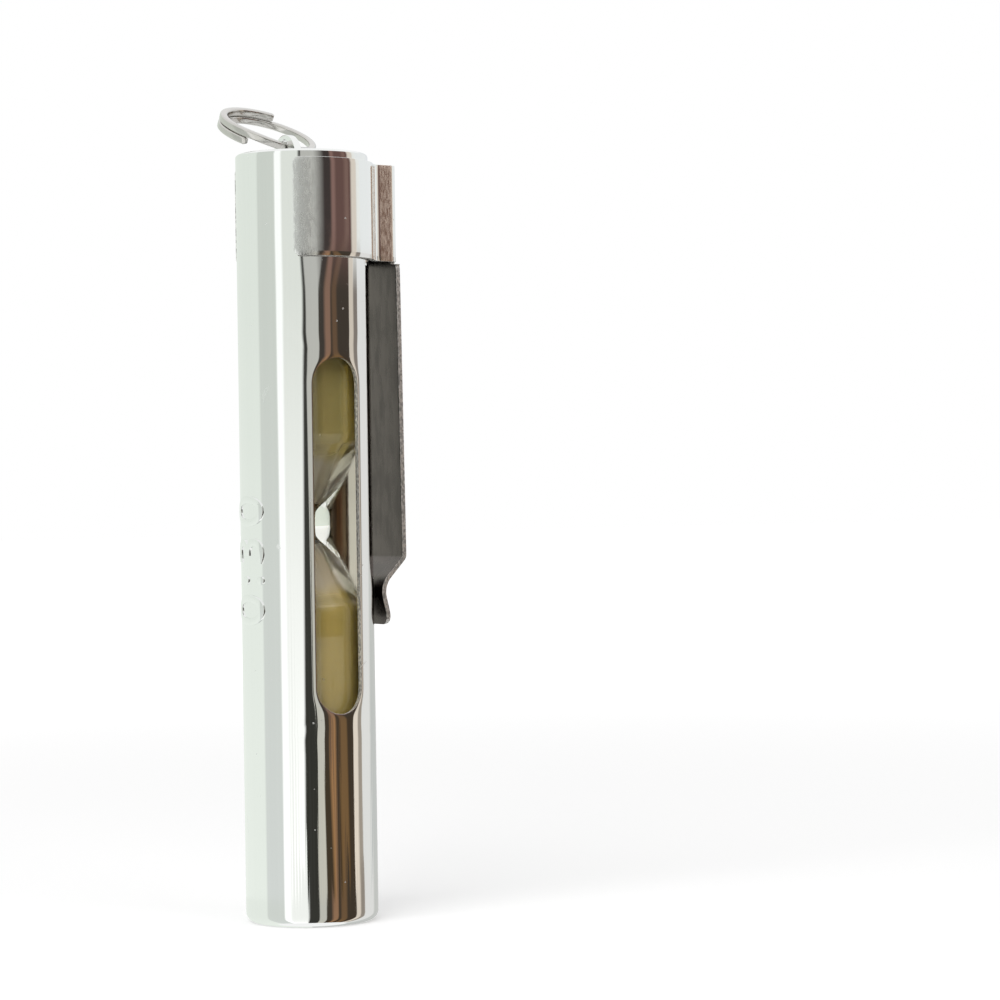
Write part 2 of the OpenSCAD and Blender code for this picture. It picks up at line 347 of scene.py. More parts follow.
def rounded(a, b, c, radius, steps):
    """A bend of the given radius in place of the corner b of the path a, b, c."""
    a, b, c = Vector(a), Vector(b), Vector(c)
    u, v = (a - b).normalized(), (c - b).normalized()
    half = math.acos(max(-1, min(1, u.dot(v)))) / 2
    centre = b + (u + v).normalized() * radius / math.sin(half)
    reach = radius / math.tan(half)
    p, q = b + u * reach - centre, b + v * reach - centre
    start, end = math.degrees(math.atan2(p.y, p.x)), math.degrees(math.atan2(q.y, q.x))
    if end - start > 180:
        end -= 360
    if end - start < -180:
        end += 360
    return arc(centre.x, centre.y, radius, start, end, steps)


# Finishes

class NodeBook:
    """Adds nodes to a tree. Their inputs are given as values or as sockets to link, and their outputs come back."""

    def __init__(self, tree):
        self.tree = tree

    def feed(self, socket, value):
        if isinstance(value, bpy.types.NodeSocket):
            self.tree.links.new(value, socket)
        else:
            socket.default_value = value

    def fill(self, node, **values):
        for key, value in values.items():
            self.feed(node.inputs[key.replace("_", " ")], value)

    def add(self, kind, inputs=None, **settings):
        made = self.tree.nodes.new(kind)
        for key, value in settings.items():
            setattr(made, key, value)
        for key, value in (inputs or {}).items():
            self.feed(made.inputs[key], value)
        return made.outputs

    def math(self, operation, *values):
        return self.add("ShaderNodeMath", dict(enumerate(values)), operation=operation)[0]

    def times(self, first, second):
        return self.math("MULTIPLY", first, second)

    def largest(self, first, *others):
        for other in others:
            first = self.math("MAXIMUM", first, other)
        return first

    def step(self, value, low, high, to_low=0.0, to_high=1.0):
        """A smooth step of a value between two levels."""
        return self.add("ShaderNodeMapRange", {
            "Value": value, "From Min": low, "From Max": high, "To Min": to_low, "To Max": to_high},
            interpolation_type="SMOOTHSTEP", clamp=True)["Result"]

    def mix(self, share, first, second):
        colours = {key: value if isinstance(value, bpy.types.NodeSocket) else (*value, 1)
                   for key, value in ((6, first), (7, second))}
        return self.add("ShaderNodeMix", {0: share, **colours}, data_type="RGBA")[2]

    def place(self, scale=(1, 1, 1), rotation=(0, 0, 0)):
        """Object coordinates, turned and scaled."""
        where = self.add("ShaderNodeTexCoord")["Object"]
        return self.add("ShaderNodeMapping", {"Vector": where, "Rotation": rotation, "Scale": scale})["Vector"]

    def split(self, where):
        return self.add("ShaderNodeSeparateXYZ", {"Vector": where})

    def noise(self, where, scale, detail, distortion=0.0):
        inputs = {"Vector": where, "Scale": scale, "Detail": detail, "Distortion": distortion}
        return self.add("ShaderNodeTexNoise", inputs)["Fac"]

    def cells(self, where, scale):
        """Small cells, as the parts of their random colours and the distance from their middles."""
        cells = self.add("ShaderNodeTexVoronoi", {"Vector": where, "Scale": scale})
        return self.add("ShaderNodeSeparateColor", {"Color": cells["Color"]}), cells["Distance"]

    def bump(self, height, strength, distance):
        inputs = {"Height": height, "Strength": strength, "Distance": distance}
        return self.add("ShaderNodeBump", inputs)["Normal"]

    def group(self, maker, inputs):
        """A node group, which its maker makes once and which is then shared."""
        name = maker.__name__
        return self.add("ShaderNodeGroup", inputs, node_tree=bpy.data.node_groups.get(name) or maker(name))


def new_group(name, numbers, values):
    """A shader node group that takes a vector and named numbers with their defaults, and puts out named values."""
    tree = bpy.data.node_groups.new(name, "ShaderNodeTree")
    tree.interface.new_socket("Vector", in_out="INPUT", socket_type="NodeSocketVector")
    for label, default in numbers.items():
        tree.interface.new_socket(label, in_out="INPUT", socket_type="NodeSocketFloat").default_value = default
    for label in values:
        tree.interface.new_socket(label, in_out="OUTPUT", socket_type="NodeSocketFloat")
    book = NodeBook(tree)
    return tree, book, book.add("NodeGroupInput"), tree.nodes.new("NodeGroupOutput")


def handling_marks(name):
    """Dust specks and hair scratches, as two masks."""
    tree, book, given, out = new_group(
        name, {"Speck Scale": 1300.0, "Speck Share": 0.05, "Hair Width": 0.004}, ("Specks", "Hairs"))
    chance, distance = book.cells(given["Vector"], given["Speck Scale"])
    chosen = book.math("LESS_THAN", chance["Red"], given["Speck Share"])
    dot = book.math("LESS_THAN", distance, book.math("MULTIPLY_ADD", chance["Green"], 0.10, 0.05))
    line = book.math("COMPARE", book.noise(given["Vector"], 90.0, 1.0, 0.3), 0.5, given["Hair Width"])
    broken = book.step(book.noise(given["Vector"], 420.0, 1.0), 0.66, 0.70)
    book.fill(out, Specks=book.times(chosen, dot), Hairs=book.times(line, broken))
    return tree


def drawn_waves(name):
    """The slight waves that drawing leaves along a tube, as a height."""
    tree, book, given, out = new_group(name, {"Scale": 170.0}, ("Height",))
    long_waves = book.add("ShaderNodeMapping", {"Vector": given["Vector"], "Scale": (1, 1, 0.12)})["Vector"]
    book.fill(out, Height=book.noise(long_waves, given["Scale"], 1.0))
    return tree


def toned(colour, share):
    """A lighter or darker colour."""
    return [min(1, c * share) for c in colour]


def plated(book, colour, roughness=0.035, waves=0.35, speck_share=0.05, hairs=0.004):
    """Bright plating over drawn metal, with dust specks and hair scratches."""
    where = book.place()
    marks = book.group(handling_marks, {"Vector": where, "Speck Share": speck_share, "Hair Width": hairs})
    cloud = book.noise(where, 120.0, 3.0)
    base = book.step(cloud, 0.35, 0.75, roughness, roughness + 0.03)
    height = book.group(drawn_waves, {"Vector": where})["Height"]
    return {"Base_Color": book.mix(book.times(cloud, 0.25), colour, toned(colour, 0.93)), "Metallic": 1.0,
            "Roughness": book.largest(base, book.times(marks["Specks"], 0.55), book.times(marks["Hairs"], 0.30)),
            "Normal": book.bump(height, waves, 0.12 * MM)}


def rubbed_plating(book, colour):
    """The clip's plating: bright, with scratched patches at the band's ends and pitted walls on the raised box, tinted
    warmer as a painted reflection.
    """
    where = book.place()
    parts = book.split(where)
    specks = book.group(handling_marks, {"Vector": where, "Speck Share": 0.06})["Specks"]
    cloud = book.noise(where, 900.0, 4.0)
    scratch = book.noise(book.place((1.0, 1.0, 0.25), (0.5, 0.0, 0.3)), 5200.0, 3.0)
    edge = book.math("MULTIPLY_ADD", cloud, 1.6 * MM, parts["X"])
    patch = book.step(edge, -2.6 * MM, -1.4 * MM, 1.0, 0.0)
    near = book.step(edge, -2.0 * MM, -0.2 * MM, 0.16, 0.0)
    rubbed = book.times(patch, book.step(scratch, 0.3, 0.7, 0.22, 0.42))
    beside = book.math("COMPARE", book.math("ABSOLUTE", parts["Y"]), STRAP_HIGH.y, 0.05 * MM)
    raised = book.times(book.step(parts["X"], 7.4 * MM, 7.6 * MM),
                        book.step(parts["Z"], BAND_LOW.z - 0.4 * MM, BAND_LOW.z - 0.1 * MM))
    wall = book.times(beside, raised)
    pitted = book.times(wall, book.step(scratch, 0.3, 0.7, 0.30, 0.60))
    bright = book.step(cloud, 0.35, 0.7, 0.04, 0.07)
    shade = book.mix(book.times(patch, book.step(scratch, 0.35, 0.65, 0.1, 0.6)), colour, toned(colour, 0.72))
    # The walls of the box get a warmer colour, a painted reflection of the brown surroundings
    painted_warm_reflection = [min(1, c * k) for c, k in zip(colour, (1.08, 0.92, 0.82))]
    return {"Base_Color": book.mix(wall, shade, painted_warm_reflection), "Metallic": 1.0,
            "Roughness": book.largest(bright, near, rubbed, pitted, book.times(specks, 0.5)),
            "Normal": book.bump(book.times(scratch, patch), 0.25, 0.02 * MM)}


def dull_metal(book, colour, low, high):
    """Unplated metal with a cloudy, slightly grained finish, between two values of roughness."""
    grain = book.noise(book.place((1, 1, 0.35)), 900.0, 4.0)
    return {"Base_Color": book.mix(book.step(grain, 0.3, 0.7), toned(colour, 0.75), toned(colour, 1.2)),
            "Metallic": 1.0, "Roughness": book.step(grain, 0.3, 0.7, low, high),
            "Normal": book.bump(grain, 0.25, 0.03 * MM)}


def bare_brass(book, colour):
    """The inside of a tube that was plated on the outside only: brass, smoother lengthwise, darkened in clouds."""
    grain = book.noise(book.place((1, 1, 0.2)), 700.0, 3.0)
    cloud = book.noise(book.place(), 90.0, 2.0)
    return {"Base_Color": book.mix(book.step(cloud, 0.3, 0.7), toned(colour, 0.8), colour), "Metallic": 1.0,
            "Roughness": book.step(grain, 0.3, 0.7, 0.06, 0.16), "Normal": book.bump(grain, 0.15, 0.04 * MM)}


def cut_edge(book, colour):
    """Sheared and then plated metal, bright with small torn specks."""
    torn = book.noise(book.place((1, 1, 0.6)), 5000.0, 3.0)
    return {"Base_Color": book.mix(book.step(torn, 0.35, 0.65), toned(colour, 0.6), toned(colour, 1.2)),
            "Metallic": 1.0, "Roughness": book.step(torn, 0.3, 0.7, 0.75, 0.5),
            "Normal": book.bump(torn, 0.4, 0.04 * MM)}


def turned_cap(book, colour):
    """Plating over the fine rings that turning leaves on a face."""
    where = book.place()
    parts = book.split(where)
    out = book.math("SQRT", book.math("ADD", *(book.math("POWER", parts[axis], 2.0) for axis in "XY")))
    specks = book.group(handling_marks, {"Vector": where})["Specks"]
    return {"Base_Color": (*colour, 1), "Metallic": 1.0, "Roughness": book.largest(book.times(specks, 0.5), 0.11),
            "Normal": book.bump(book.math("SINE", book.times(out, 42000.0)), 0.12, 0.02 * MM)}


def clear_glass(book, colour, clearness=1.0, pale=None, middle=0.0):
    """Blown glass; below a clearness of 1 it carries a film that paints the reflection of the case's brass, paler
    towards the neck.
    """
    where, shade = book.place(), (*colour, 1)
    waves = book.noise(book.place((1, 1, 0.3)), 260.0, 2.0)
    specks = book.group(handling_marks, {"Vector": where, "Speck Share": 0.03})["Specks"]
    # The paler tone towards the neck is a painted reflection of light off the cones
    if pale:
        away = book.math("ABSOLUTE", book.math("SUBTRACT", book.split(where)["Z"], middle))
        away = book.math("MULTIPLY_ADD", book.noise(where, 350.0, 3.0), 1.2 * MM, away)
        shade = book.mix(book.step(away, 6.8 * MM, 8.4 * MM), pale, colour)
    return {"Base_Color": shade, "Metallic": 0.0, "IOR": 1.5, "Transmission_Weight": clearness,
            "Roughness": book.times(specks, 0.3), "Normal": book.bump(waves, 0.1, 0.1 * MM)}


def fine_sand(book, colour, pale, pale_from):
    """Fine sand, painted paler where it lies in the narrow part of the glass, as a reflection of light off the glass's
    cone.
    """
    where = book.place()
    chance, distance = book.cells(where, 9000.0)
    cloud = book.noise(where, 300.0, 3.0)
    level = book.math("MULTIPLY_ADD", cloud, 1.2 * MM, book.split(where)["Z"])
    # Above pale_from the sand is painted paler, a painted reflection of light off the glass's cone
    shade = book.mix(book.step(level, pale_from, pale_from + 0.8 * MM), colour, pale)
    dark = book.math("MULTIPLY_ADD", chance["Red"], 0.24, book.step(cloud, 0.3, 0.7, 0.0, 0.2))
    return {"Base_Color": book.mix(dark, shade, toned(colour, 0.45)), "Roughness": 0.9,
            "Normal": book.bump(distance, 0.35, 0.03 * MM)}


def pressed_cork(book, colour):
    chance, distance = book.cells(book.place(), 900.0)
    return {"Base_Color": book.mix(chance["Green"], toned(colour, 0.6), toned(colour, 1.3)), "Roughness": 0.85,
            "Normal": book.bump(distance, 0.5, 0.1 * MM)}


def finish(name, maker, *values):
    """A finish that is made once and then shared. Its maker gives the values of the Principled shader."""
    if name not in bpy.data.materials:
        material = bpy.data.materials.new(name)
        material.use_nodes = True
        book = NodeBook(material.node_tree)
        book.fill(material.node_tree.nodes["Principled BSDF"], **maker(book, *values))
    return bpy.data.materials[name]


# Pieces

def case_profile(sizes, v, depth):
    """Radius and height of the wall's points, from their height along the unrolled wall and their depth in it."""
    wall, base, edge = sizes.case_wall, sizes.base_fillet, sizes.rim_round
    full, top = sizes.case_radius, sizes.case_height - edge
    lip, flat, bend = full - sizes.rim_roll, sizes.rim_roll - 2 * edge, edge * math.pi / 2
    # The rolled rim: up round the outer edge, across, round the inner edge and down the lip
    along = [top + bend * i / 8 for i in range(9)]
    along += [start + bend + flat for start in along] + [top + 2 * bend + flat + sizes.rim_lip]
    out, up = np.array(arc(full - edge, top, edge, 0, 90, 8) + arc(lip + edge, top, edge, 90, 180, 8)
                       + [(lip, top - sizes.rim_lip)]).T
    radius, height = np.full_like(v, full), v.copy()
    rim, below = v > top, v < base
    radius[rim], height[rim] = np.interp(v[rim], along, out), np.interp(v[rim], along, up)
    turned = (base - v[below]) / base
    past = np.maximum(turned - math.pi / 2, 0) * base
    turned = np.minimum(turned, math.pi / 2)
    radius[below] = full - base + base * np.cos(turned) - past
    height[below] = base - base * np.sin(turned)
    inner_r, inner_z = np.full_like(v, full - wall), v.copy()
    # Inside, the wall closes in on the end cap over the last stretch under the rim
    cap_gap, taper = 0.03 * MM, 1.0 * MM
    start = sizes.case_height - sizes.rim_roll + cap_gap - taper
    inner_r[rim] = np.interp(v[rim], [along[0], along[-1]], [full - wall, lip])
    inner_z = np.where(v > start, start + (np.minimum(v, top) - start) / (top - start) * taper, inner_z)
    inner_r[below] = full - base + (base - wall) * np.cos(turned) - past
    inner_z[below] = base - (base - wall) * np.sin(turned)
    share = depth / wall
    return np.maximum(radius + (inner_r - radius) * share, 0), height + (inner_z - height) * share


class TIMER_OT_case(bpy.types.Operator):
    """Builds the chromed case: one unrolled sheet with a dished window, wrapped into half a tube, twice"""
    bl_idname = "timer.case"
    bl_label = "Case"

    def execute(self, context):
        sizes = context.scene.timer_sizes
        radius = sizes.case_radius
        window = radius * math.asin(sizes.window_width / 2 / radius)
        straight = (sizes.window_length - sizes.window_width) / 2
        # Strips round the window, from the outside in: width, and the share of the dish at the strip's inner edge
        strips = [(0.75 * MM, 0.0), (0.4 * MM, 0.02), (0.3 * MM, 0.14), (0.2 * MM, 0.5), (0.15 * MM, 1.0)]
        outer = window + sum(width for width, _ in strips)
        side_rows, cap_steps = 40, 24
        corner = cap_steps // 4
        piece = begin_point("case_shell", (outer, 0, -straight))
        for side in (1, -1):
            draw_on((0, 0, 2 * straight * side), side_rows)
            turn(-180, cap_steps, (0, 0, straight * side), (0, 1, 0))
        select_all()
        bpy.ops.mesh.remove_doubles(threshold=MERGE)
        select_all()
        bpy.ops.mesh.edge_face_add()
        before = 0.0
        for width, share in strips:
            bpy.ops.mesh.inset(thickness=width, depth=(share - before) * sizes.window_dish)
            before = share
        bpy.ops.mesh.delete(type="FACE")
        # The rectangle that the strips are set in
        half_w, half_h = 5.2 * MM, straight + outer + 0.8 * MM
        rise = half_h - straight

        def on_outline(co):
            past = max(abs(co.z) - straight, 0)
            return abs(math.hypot(co.x, past) - outer) < NEAR

        pick(piece, on_outline)
        bpy.ops.mesh.extrude_edges_move()
        mesh = bmesh.from_edit_mesh(piece.data)
        for vertex in [v for v in mesh.verts if v.select]:
            x, past = vertex.co.x, abs(vertex.co.z) - straight
            side = 1 if vertex.co.z > 0 else -1
            if past < NEAR:
                vertex.co.x = math.copysign(half_w, x)
                continue
            k = math.degrees(math.atan2(past, x)) / 180 * cap_steps
            if k <= corner:
                vertex.co.x, past = half_w, rise * k / corner
            elif k < 3 * corner:
                vertex.co.x, past = half_w - half_w * (k - corner) / corner, rise
            else:
                vertex.co.x, past = -half_w, rise * (cap_steps - k) / corner
            vertex.co.z = side * (straight + past)
        bmesh.update_edit_mesh(piece.data)
        middle, base = sizes.window_middle, sizes.base_fillet
        top_wall, bend = sizes.case_height - sizes.rim_round, sizes.rim_round * math.pi / 2
        pick(piece, lambda co: co.z > half_h - NEAR)
        widen((0, 0, top_wall - middle - half_h), 12)
        for step, count in ((bend, 4), (sizes.rim_roll - 2 * sizes.rim_round, 1), (bend, 4), (sizes.rim_lip, 1)):
            widen((0, 0, step), count)
        pick(piece, lambda co: co.z < NEAR - half_h)
        widen((0, 0, -(middle - half_h - base)), 12)
        widen((0, 0, -base * math.pi / 2), 6)
        base_rings = (0.4 * MM, 1.6 * MM, 2.0 * MM)
        for step in (*base_rings, radius - base - sum(base_rings)):
            widen((0, 0, -step))
        quarter = radius * math.pi / 2
        for side in (1, -1):
            pick(piece, lambda co: co.x * side > half_w - NEAR)
            widen((side * (quarter - half_w), 0, 0), 8)
        leave_edit()
        subdivide_smooth(piece)
        colours = context.scene.timer_colours
        coat(piece, finish("case_chrome_finish", plated, colours.chrome[:]),
             finish("case_inside_finish", bare_brass, colours.brass[:]),
             finish("cut_edge_finish", cut_edge, colours.cut_edge[:]))
        turn_faces(piece, Vector((0, -1, 0)))
        thicken(piece, sizes.case_wall, -1)
        places = points_of(piece)
        r, z = case_profile(sizes, places[:, 2] + middle, places[:, 1])
        angle = places[:, 0] / radius
        put_points(piece, np.stack([r * np.sin(angle), -r * np.cos(angle), z], 1))
        self.drop_seams(piece)
        edit_all()
        bpy.ops.mesh.duplicate()
        bpy.ops.transform.rotate(value=math.pi, orient_axis="Z", center_override=(0, 0, 0))
        close_up()
        leave_edit()
        soften_edges(piece, 0.05 * MM)
        smooth(piece, 35)
        place_piece(piece, "case", "case_chrome", "case_tube")
        return {"FINISHED"}

    def drop_seams(self, piece):
        """Takes out the cut faces along which the two halves and the middle of the base join."""
        mesh = bmesh.new()
        mesh.from_mesh(piece.data)
        seams = [f for f in mesh.faces if all(abs(v.co.y) < NEAR for v in f.verts)
                 or all(math.hypot(v.co.x, v.co.y) < NEAR for v in f.verts)]
        bmesh.ops.delete(mesh, geom=seams, context="FACES")
        mesh.to_mesh(piece.data)
        mesh.free()


def corner_width(half, left, corner):
    """Half width of a sheet at a distance from its end, whose corners are rounded."""
    return half - corner + np.sqrt(np.maximum(corner ** 2 - (corner - np.maximum(left, 0)) ** 2, 0))


class TIMER_OT_clip(bpy.types.Operator):
    """Builds the pocket clip: one bent sheet of band, raised box and strap"""
    bl_idname = "timer.clip"
    bl_label = "Pocket clip"

    def execute(self, context):
        sizes = context.scene.timer_sizes
        t = sizes.sheet
        back = BAND_HIGH.x - t / 2
        half_w = sizes.strap_width / 2
        low, high = BAND_LOW.z, BAND_HIGH.z
        band_r = sizes.case_radius + sizes.band_clear + sizes.band_set + t / 2
        wall_y = half_w - t / 2
        foot_r, corner_r = sizes.foot_bend + t / 2, sizes.box_bend - t / 2
        foot_y = wall_y + foot_r
        foot_x = math.sqrt((band_r + foot_r) ** 2 - foot_y ** 2)
        foot_a = math.degrees(math.atan2(foot_y, foot_x))
        foot_x -= sizes.band_set
        piece = begin_point("pocket_clip", (back, 0, low))
        draw_on((0, 0, high - low), 10)
        select_all()
        flat = wall_y - corner_r
        widen((0, flat, 0), 4)
        turn(90, 8, (back - corner_r, flat, 0), (0, 0, 1))
        widen((foot_x - (back - corner_r), 0, 0), 4)
        turn(-(90 - foot_a), 6, (foot_x, foot_y, 0), (0, 0, 1))
        turn(sizes.band_reach - foot_a, 44, (-sizes.band_set, 0, 0), (0, 0, 1))
        leave_edit()
        places = points_of(piece)
        middle, half_h = (low + high) / 2, (high - low) / 2
        around = np.degrees(np.arctan2(places[:, 1], places[:, 0] + sizes.band_set))
        left = np.radians(sizes.band_reach - around) * band_r
        near = left < sizes.band_corner
        shrink = corner_width(half_h, left, sizes.band_corner) / half_h
        places[near, 2] = middle + (places[near, 2] - middle) * shrink[near]
        put_points(piece, places)
        edit_all()
        path = self.strap_path(sizes, back)
        pick(piece, lambda co: co.z < low + NEAR and co.y < flat + NEAR and co.x > back - NEAR)
        here = Vector((back, low))
        for x, z in path:
            widen((x - here.x, 0, z - here.y))
            here = Vector((x, z))
        pick(piece, lambda co: co.z < low - 0.2 * MM and abs(co.y - flat) < NEAR)
        widen((0, half_w - flat, 0), 3)
        leave_edit()
        places = points_of(piece)
        shoulder = low - 0.28 * MM
        for centre, reach, corner in ((STRAP_LOW.z, 1, sizes.tip_corner), (shoulder, -1, sizes.shoulder_corner)):
            left = (places[:, 2] - centre) * reach
            near = (left < corner) & (places[:, 2] < low - 0.1 * MM) & (left > -NEAR)
            allowed = corner_width(half_w, left, corner)
            if reach == 1:
                places[near, 1] *= (allowed / half_w)[near]
            else:
                outside = near & (places[:, 1] > flat + NEAR)
                places[outside, 1] = flat + (places[outside, 1] - flat) * ((allowed - flat) / (half_w - flat))[outside]
        put_points(piece, places)
        finish_with(piece, "MIRROR", use_axis=(False, True, False), use_mirror_merge=True, merge_threshold=MERGE)
        subdivide_smooth(piece)
        edit_all()
        close_up()
        leave_edit()
        colours = context.scene.timer_colours
        # The second finish paints the inner faces near black, a painted dark reflection
        coat(piece, finish("clip_chrome_finish", rubbed_plating, colours.chrome[:]),
             finish("clip_inside_finish", dull_metal, colours.clip_inside[:], 0.22, 0.32),
             finish("cut_edge_finish", cut_edge, colours.cut_edge[:]))
        # The faces at the strap's back look away from the case
        turn_faces(piece, Vector((1, 0, 0)), lambda centre: centre.x > BAND_HIGH.x - 1.0 * MM)
        thicken(piece, t, 0)
        soften_edges(piece, 0.08 * MM, segments=3)
        smooth(piece, 35)
        place_piece(piece, None, "clip_chrome", "clip_band", "clip_strap")
        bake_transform(piece)
        return {"FINISHED"}

    def strap_path(self, sizes, back):
        """The strap's middle line down from the band: a long run, a kink in to the case, and a flared end."""
        kink_r, waist_r = sizes.kink_bend + sizes.sheet / 2, sizes.waist_bend + sizes.sheet / 2
        kink = Vector((back + sizes.kink_out, sizes.kink_height))
        waist_x = sizes.case_radius + sizes.waist_clear + sizes.sheet / 2
        waist = Vector((waist_x, kink.y - sizes.waist_drop))
        # The cut end leans, so its middle stands a little above its lowest corner
        tip = Vector((waist_x + sizes.tip_flare, STRAP_LOW.z + 0.03 * MM))
        # The waist's corner is moved out until its bend just reaches the waist's place
        for _ in range(2):
            u, v = (kink - waist).normalized(), (tip - waist).normalized()
            half = math.acos(u.dot(v)) / 2
            waist = Vector((waist_x + waist_r - (u + v).normalized().x * waist_r / math.sin(half), waist.y))
        root = Vector((back, BAND_LOW.z))
        upper = [Vector(p) for p in rounded(root, kink, waist, kink_r, 6)]
        lower = [Vector(p) for p in rounded(kink, waist, tip, waist_r, 10)]
        # Close rows at the top hold the corners of the shoulder
        rows = [root + Vector((0, -drop * MM)) for drop in (0.25, 0.4, 0.6)]
        long_run = upper[0] - rows[-1]
        rows += [rows[2] + long_run * i / 24 for i in range(1, 24)] + upper
        rows += [upper[-1].lerp(lower[0], i / 3) for i in range(1, 3)] + lower
        rows += [lower[-1].lerp(tip, share) for share in (0.2, 0.4, 0.55, 0.7, 0.8, 0.88, 0.94, 0.98, 1.0)]
        return [(p.x, p.y) for p in rows]


class TIMER_OT_ring(bpy.types.Operator):
    """Builds the split ring: a flat strand wound nearly one and a half times"""
    bl_idname = "timer.ring"
    bl_label = "Split ring"

    def execute(self, context):
        sizes = context.scene.timer_sizes
        w = sizes.strand / 2
        r = sizes.ring_diameter / 2 - w
        flat = w - sizes.strand_round
        # The strand's ends and the middle and width of the step between its turns, in degrees
        first, last, step_middle, step_width = 59.0, 579.0, 270, 110
        steps = 208
        piece = begin_point("wound_ring", (r + w, 0, -flat))
        for x, z in ((0, 1), (-1, 0), (0, -1), (1, 0)):
            draw_on((2 * flat * x, 0, 2 * flat * z), 2)
            turn(-90, 4, (r + flat * (z + x), 0, flat * (z - x)), (0, 1, 0))
        select_all()
        bpy.ops.mesh.remove_doubles(threshold=MERGE)
        select_all()
        turn(last - first, steps, (0, 0, 0), (0, 0, 1))
        leave_edit()
        places = points_of(piece)
        side = len(places) // (steps + 1)
        step = np.arange(len(places)) // side
        angle = first + (last - first) * step / steps
        s = np.clip((angle - step_middle) / step_width + 0.5, 0, 1)
        level = sizes.turn_step * (0.5 - s * s * (3 - 2 * s))
        from_end = np.radians(np.minimum(angle - first, last - angle)) * r
        end_round, end_share = 0.35 * MM, 0.72
        pinch = np.clip(from_end / end_round, 0, 1)
        pinch = end_share + (1 - end_share) * np.sqrt(1 - (1 - pinch) ** 2)
        out = np.hypot(places[:, 0], places[:, 1])
        around = np.radians(angle)
        out = r + (out - r) * pinch
        places = np.stack([out * np.cos(around), out * np.sin(around), places[:, 2] * pinch + level], 1)
        rise, lean = math.radians(sizes.ring_rise), math.radians(sizes.ring_lean)
        tilt = Matrix.Rotation(lean, 3, "Y") @ Matrix.Rotation(rise, 3, "X")
        places = (places + np.array([0, r, 0])) @ np.array(tilt).T + np.array(LUG_HOLE)
        put_points(piece, places)
        edit_all()
        bpy.ops.mesh.select_all(action="DESELECT")
        bpy.ops.mesh.select_mode(type="EDGE")
        bpy.ops.mesh.select_non_manifold()
        bpy.ops.mesh.edge_face_add()
        bpy.ops.mesh.select_mode(type="VERT")
        close_up()
        leave_edit()
        smooth(piece, 50)
        coat(piece, finish("ring_steel_finish", plated, context.scene.timer_colours.ring[:], 0.15, 0.02, 0.02, 0.0))
        place_piece(piece, "ring", "ring_steel", "split_ring")
        return {"FINISHED"}


class TIMER_OT_glass(bpy.types.Operator):
    """Builds the sand glass: two blown bulbs and a narrow neck, as one closed wall"""
    bl_idname = "timer.glass"
    bl_label = "Sand glass"

    def execute(self, context):
        sizes = context.scene.timer_sizes
        neck_z, height = (GLASS_LOW.z + GLASS_HIGH.z) / 2, (GLASS_HIGH.z - GLASS_LOW.z) / 2
        wall, end = sizes.glass_wall, sizes.bulb_end
        outer = bulb_outline(sizes, GLASS_HIGH.x, sizes.neck_radius, height, end)
        inner = bulb_outline(sizes, GLASS_HIGH.x - wall, sizes.neck_bore, height - wall, end - wall)
        piece = lathe("blown_glass", [(r, neck_z + z) for r, z in outer], 96)
        hollow = lathe("glass_hollow", [(r, neck_z + z) for r, z in inner], 96)
        flip_faces()
        outer_faces = len(piece.data.polygons)
        choose(piece, hollow)
        bpy.ops.object.join()
        smooth(piece, 60)
        piece.visible_shadow = False
        colours = context.scene.timer_colours
        # The second finish is a film that paints the reflection of the case's brass inside the bulbs
        coat(piece, finish("clear_glass_finish", clear_glass, colours.glass[:]),
             finish("painted_reflection_glass_finish", clear_glass, colours.film[:], 0.7, colours.film_pale[:], neck_z))
        place_piece(piece, "case", "clear_glass", "sand_glass")
        clean_neck = 3.0 * MM
        for face in piece.data.polygons[outer_faces:]:
            face.material_index = int(abs(face.center.z - neck_z) > clean_neck)
        return {"FINISHED"}


def bulb_outline(sizes, full, neck, height, end):
    """Outline of both bulbs from the lower end of the axis to the upper, about the middle of the neck."""
    straight, cone = sizes.neck_straight, sizes.cone_height
    lean = math.atan2(full - neck, cone - straight)
    # The bend at the neck takes up nearly all of its straight part
    neck_bend = 0.97 * straight / math.tan(lean / 2)
    half = [(neck, 0)] + rounded((neck, 0), (neck, straight), (full, cone), neck_bend, 16)
    half += rounded((neck, straight), (full, cone), (full, height), sizes.bulb_bend, 10)
    wall_from, wall_to = half[-1][1], height - end
    half += [(full, wall_from + (wall_to - wall_from) * i / 6) for i in range(1, 6)]
    half += arc(full - end, wall_to, end, 0, 90, 14) + [(0, height)]
    return [(r, -z) for r, z in half[:0:-1]] + half


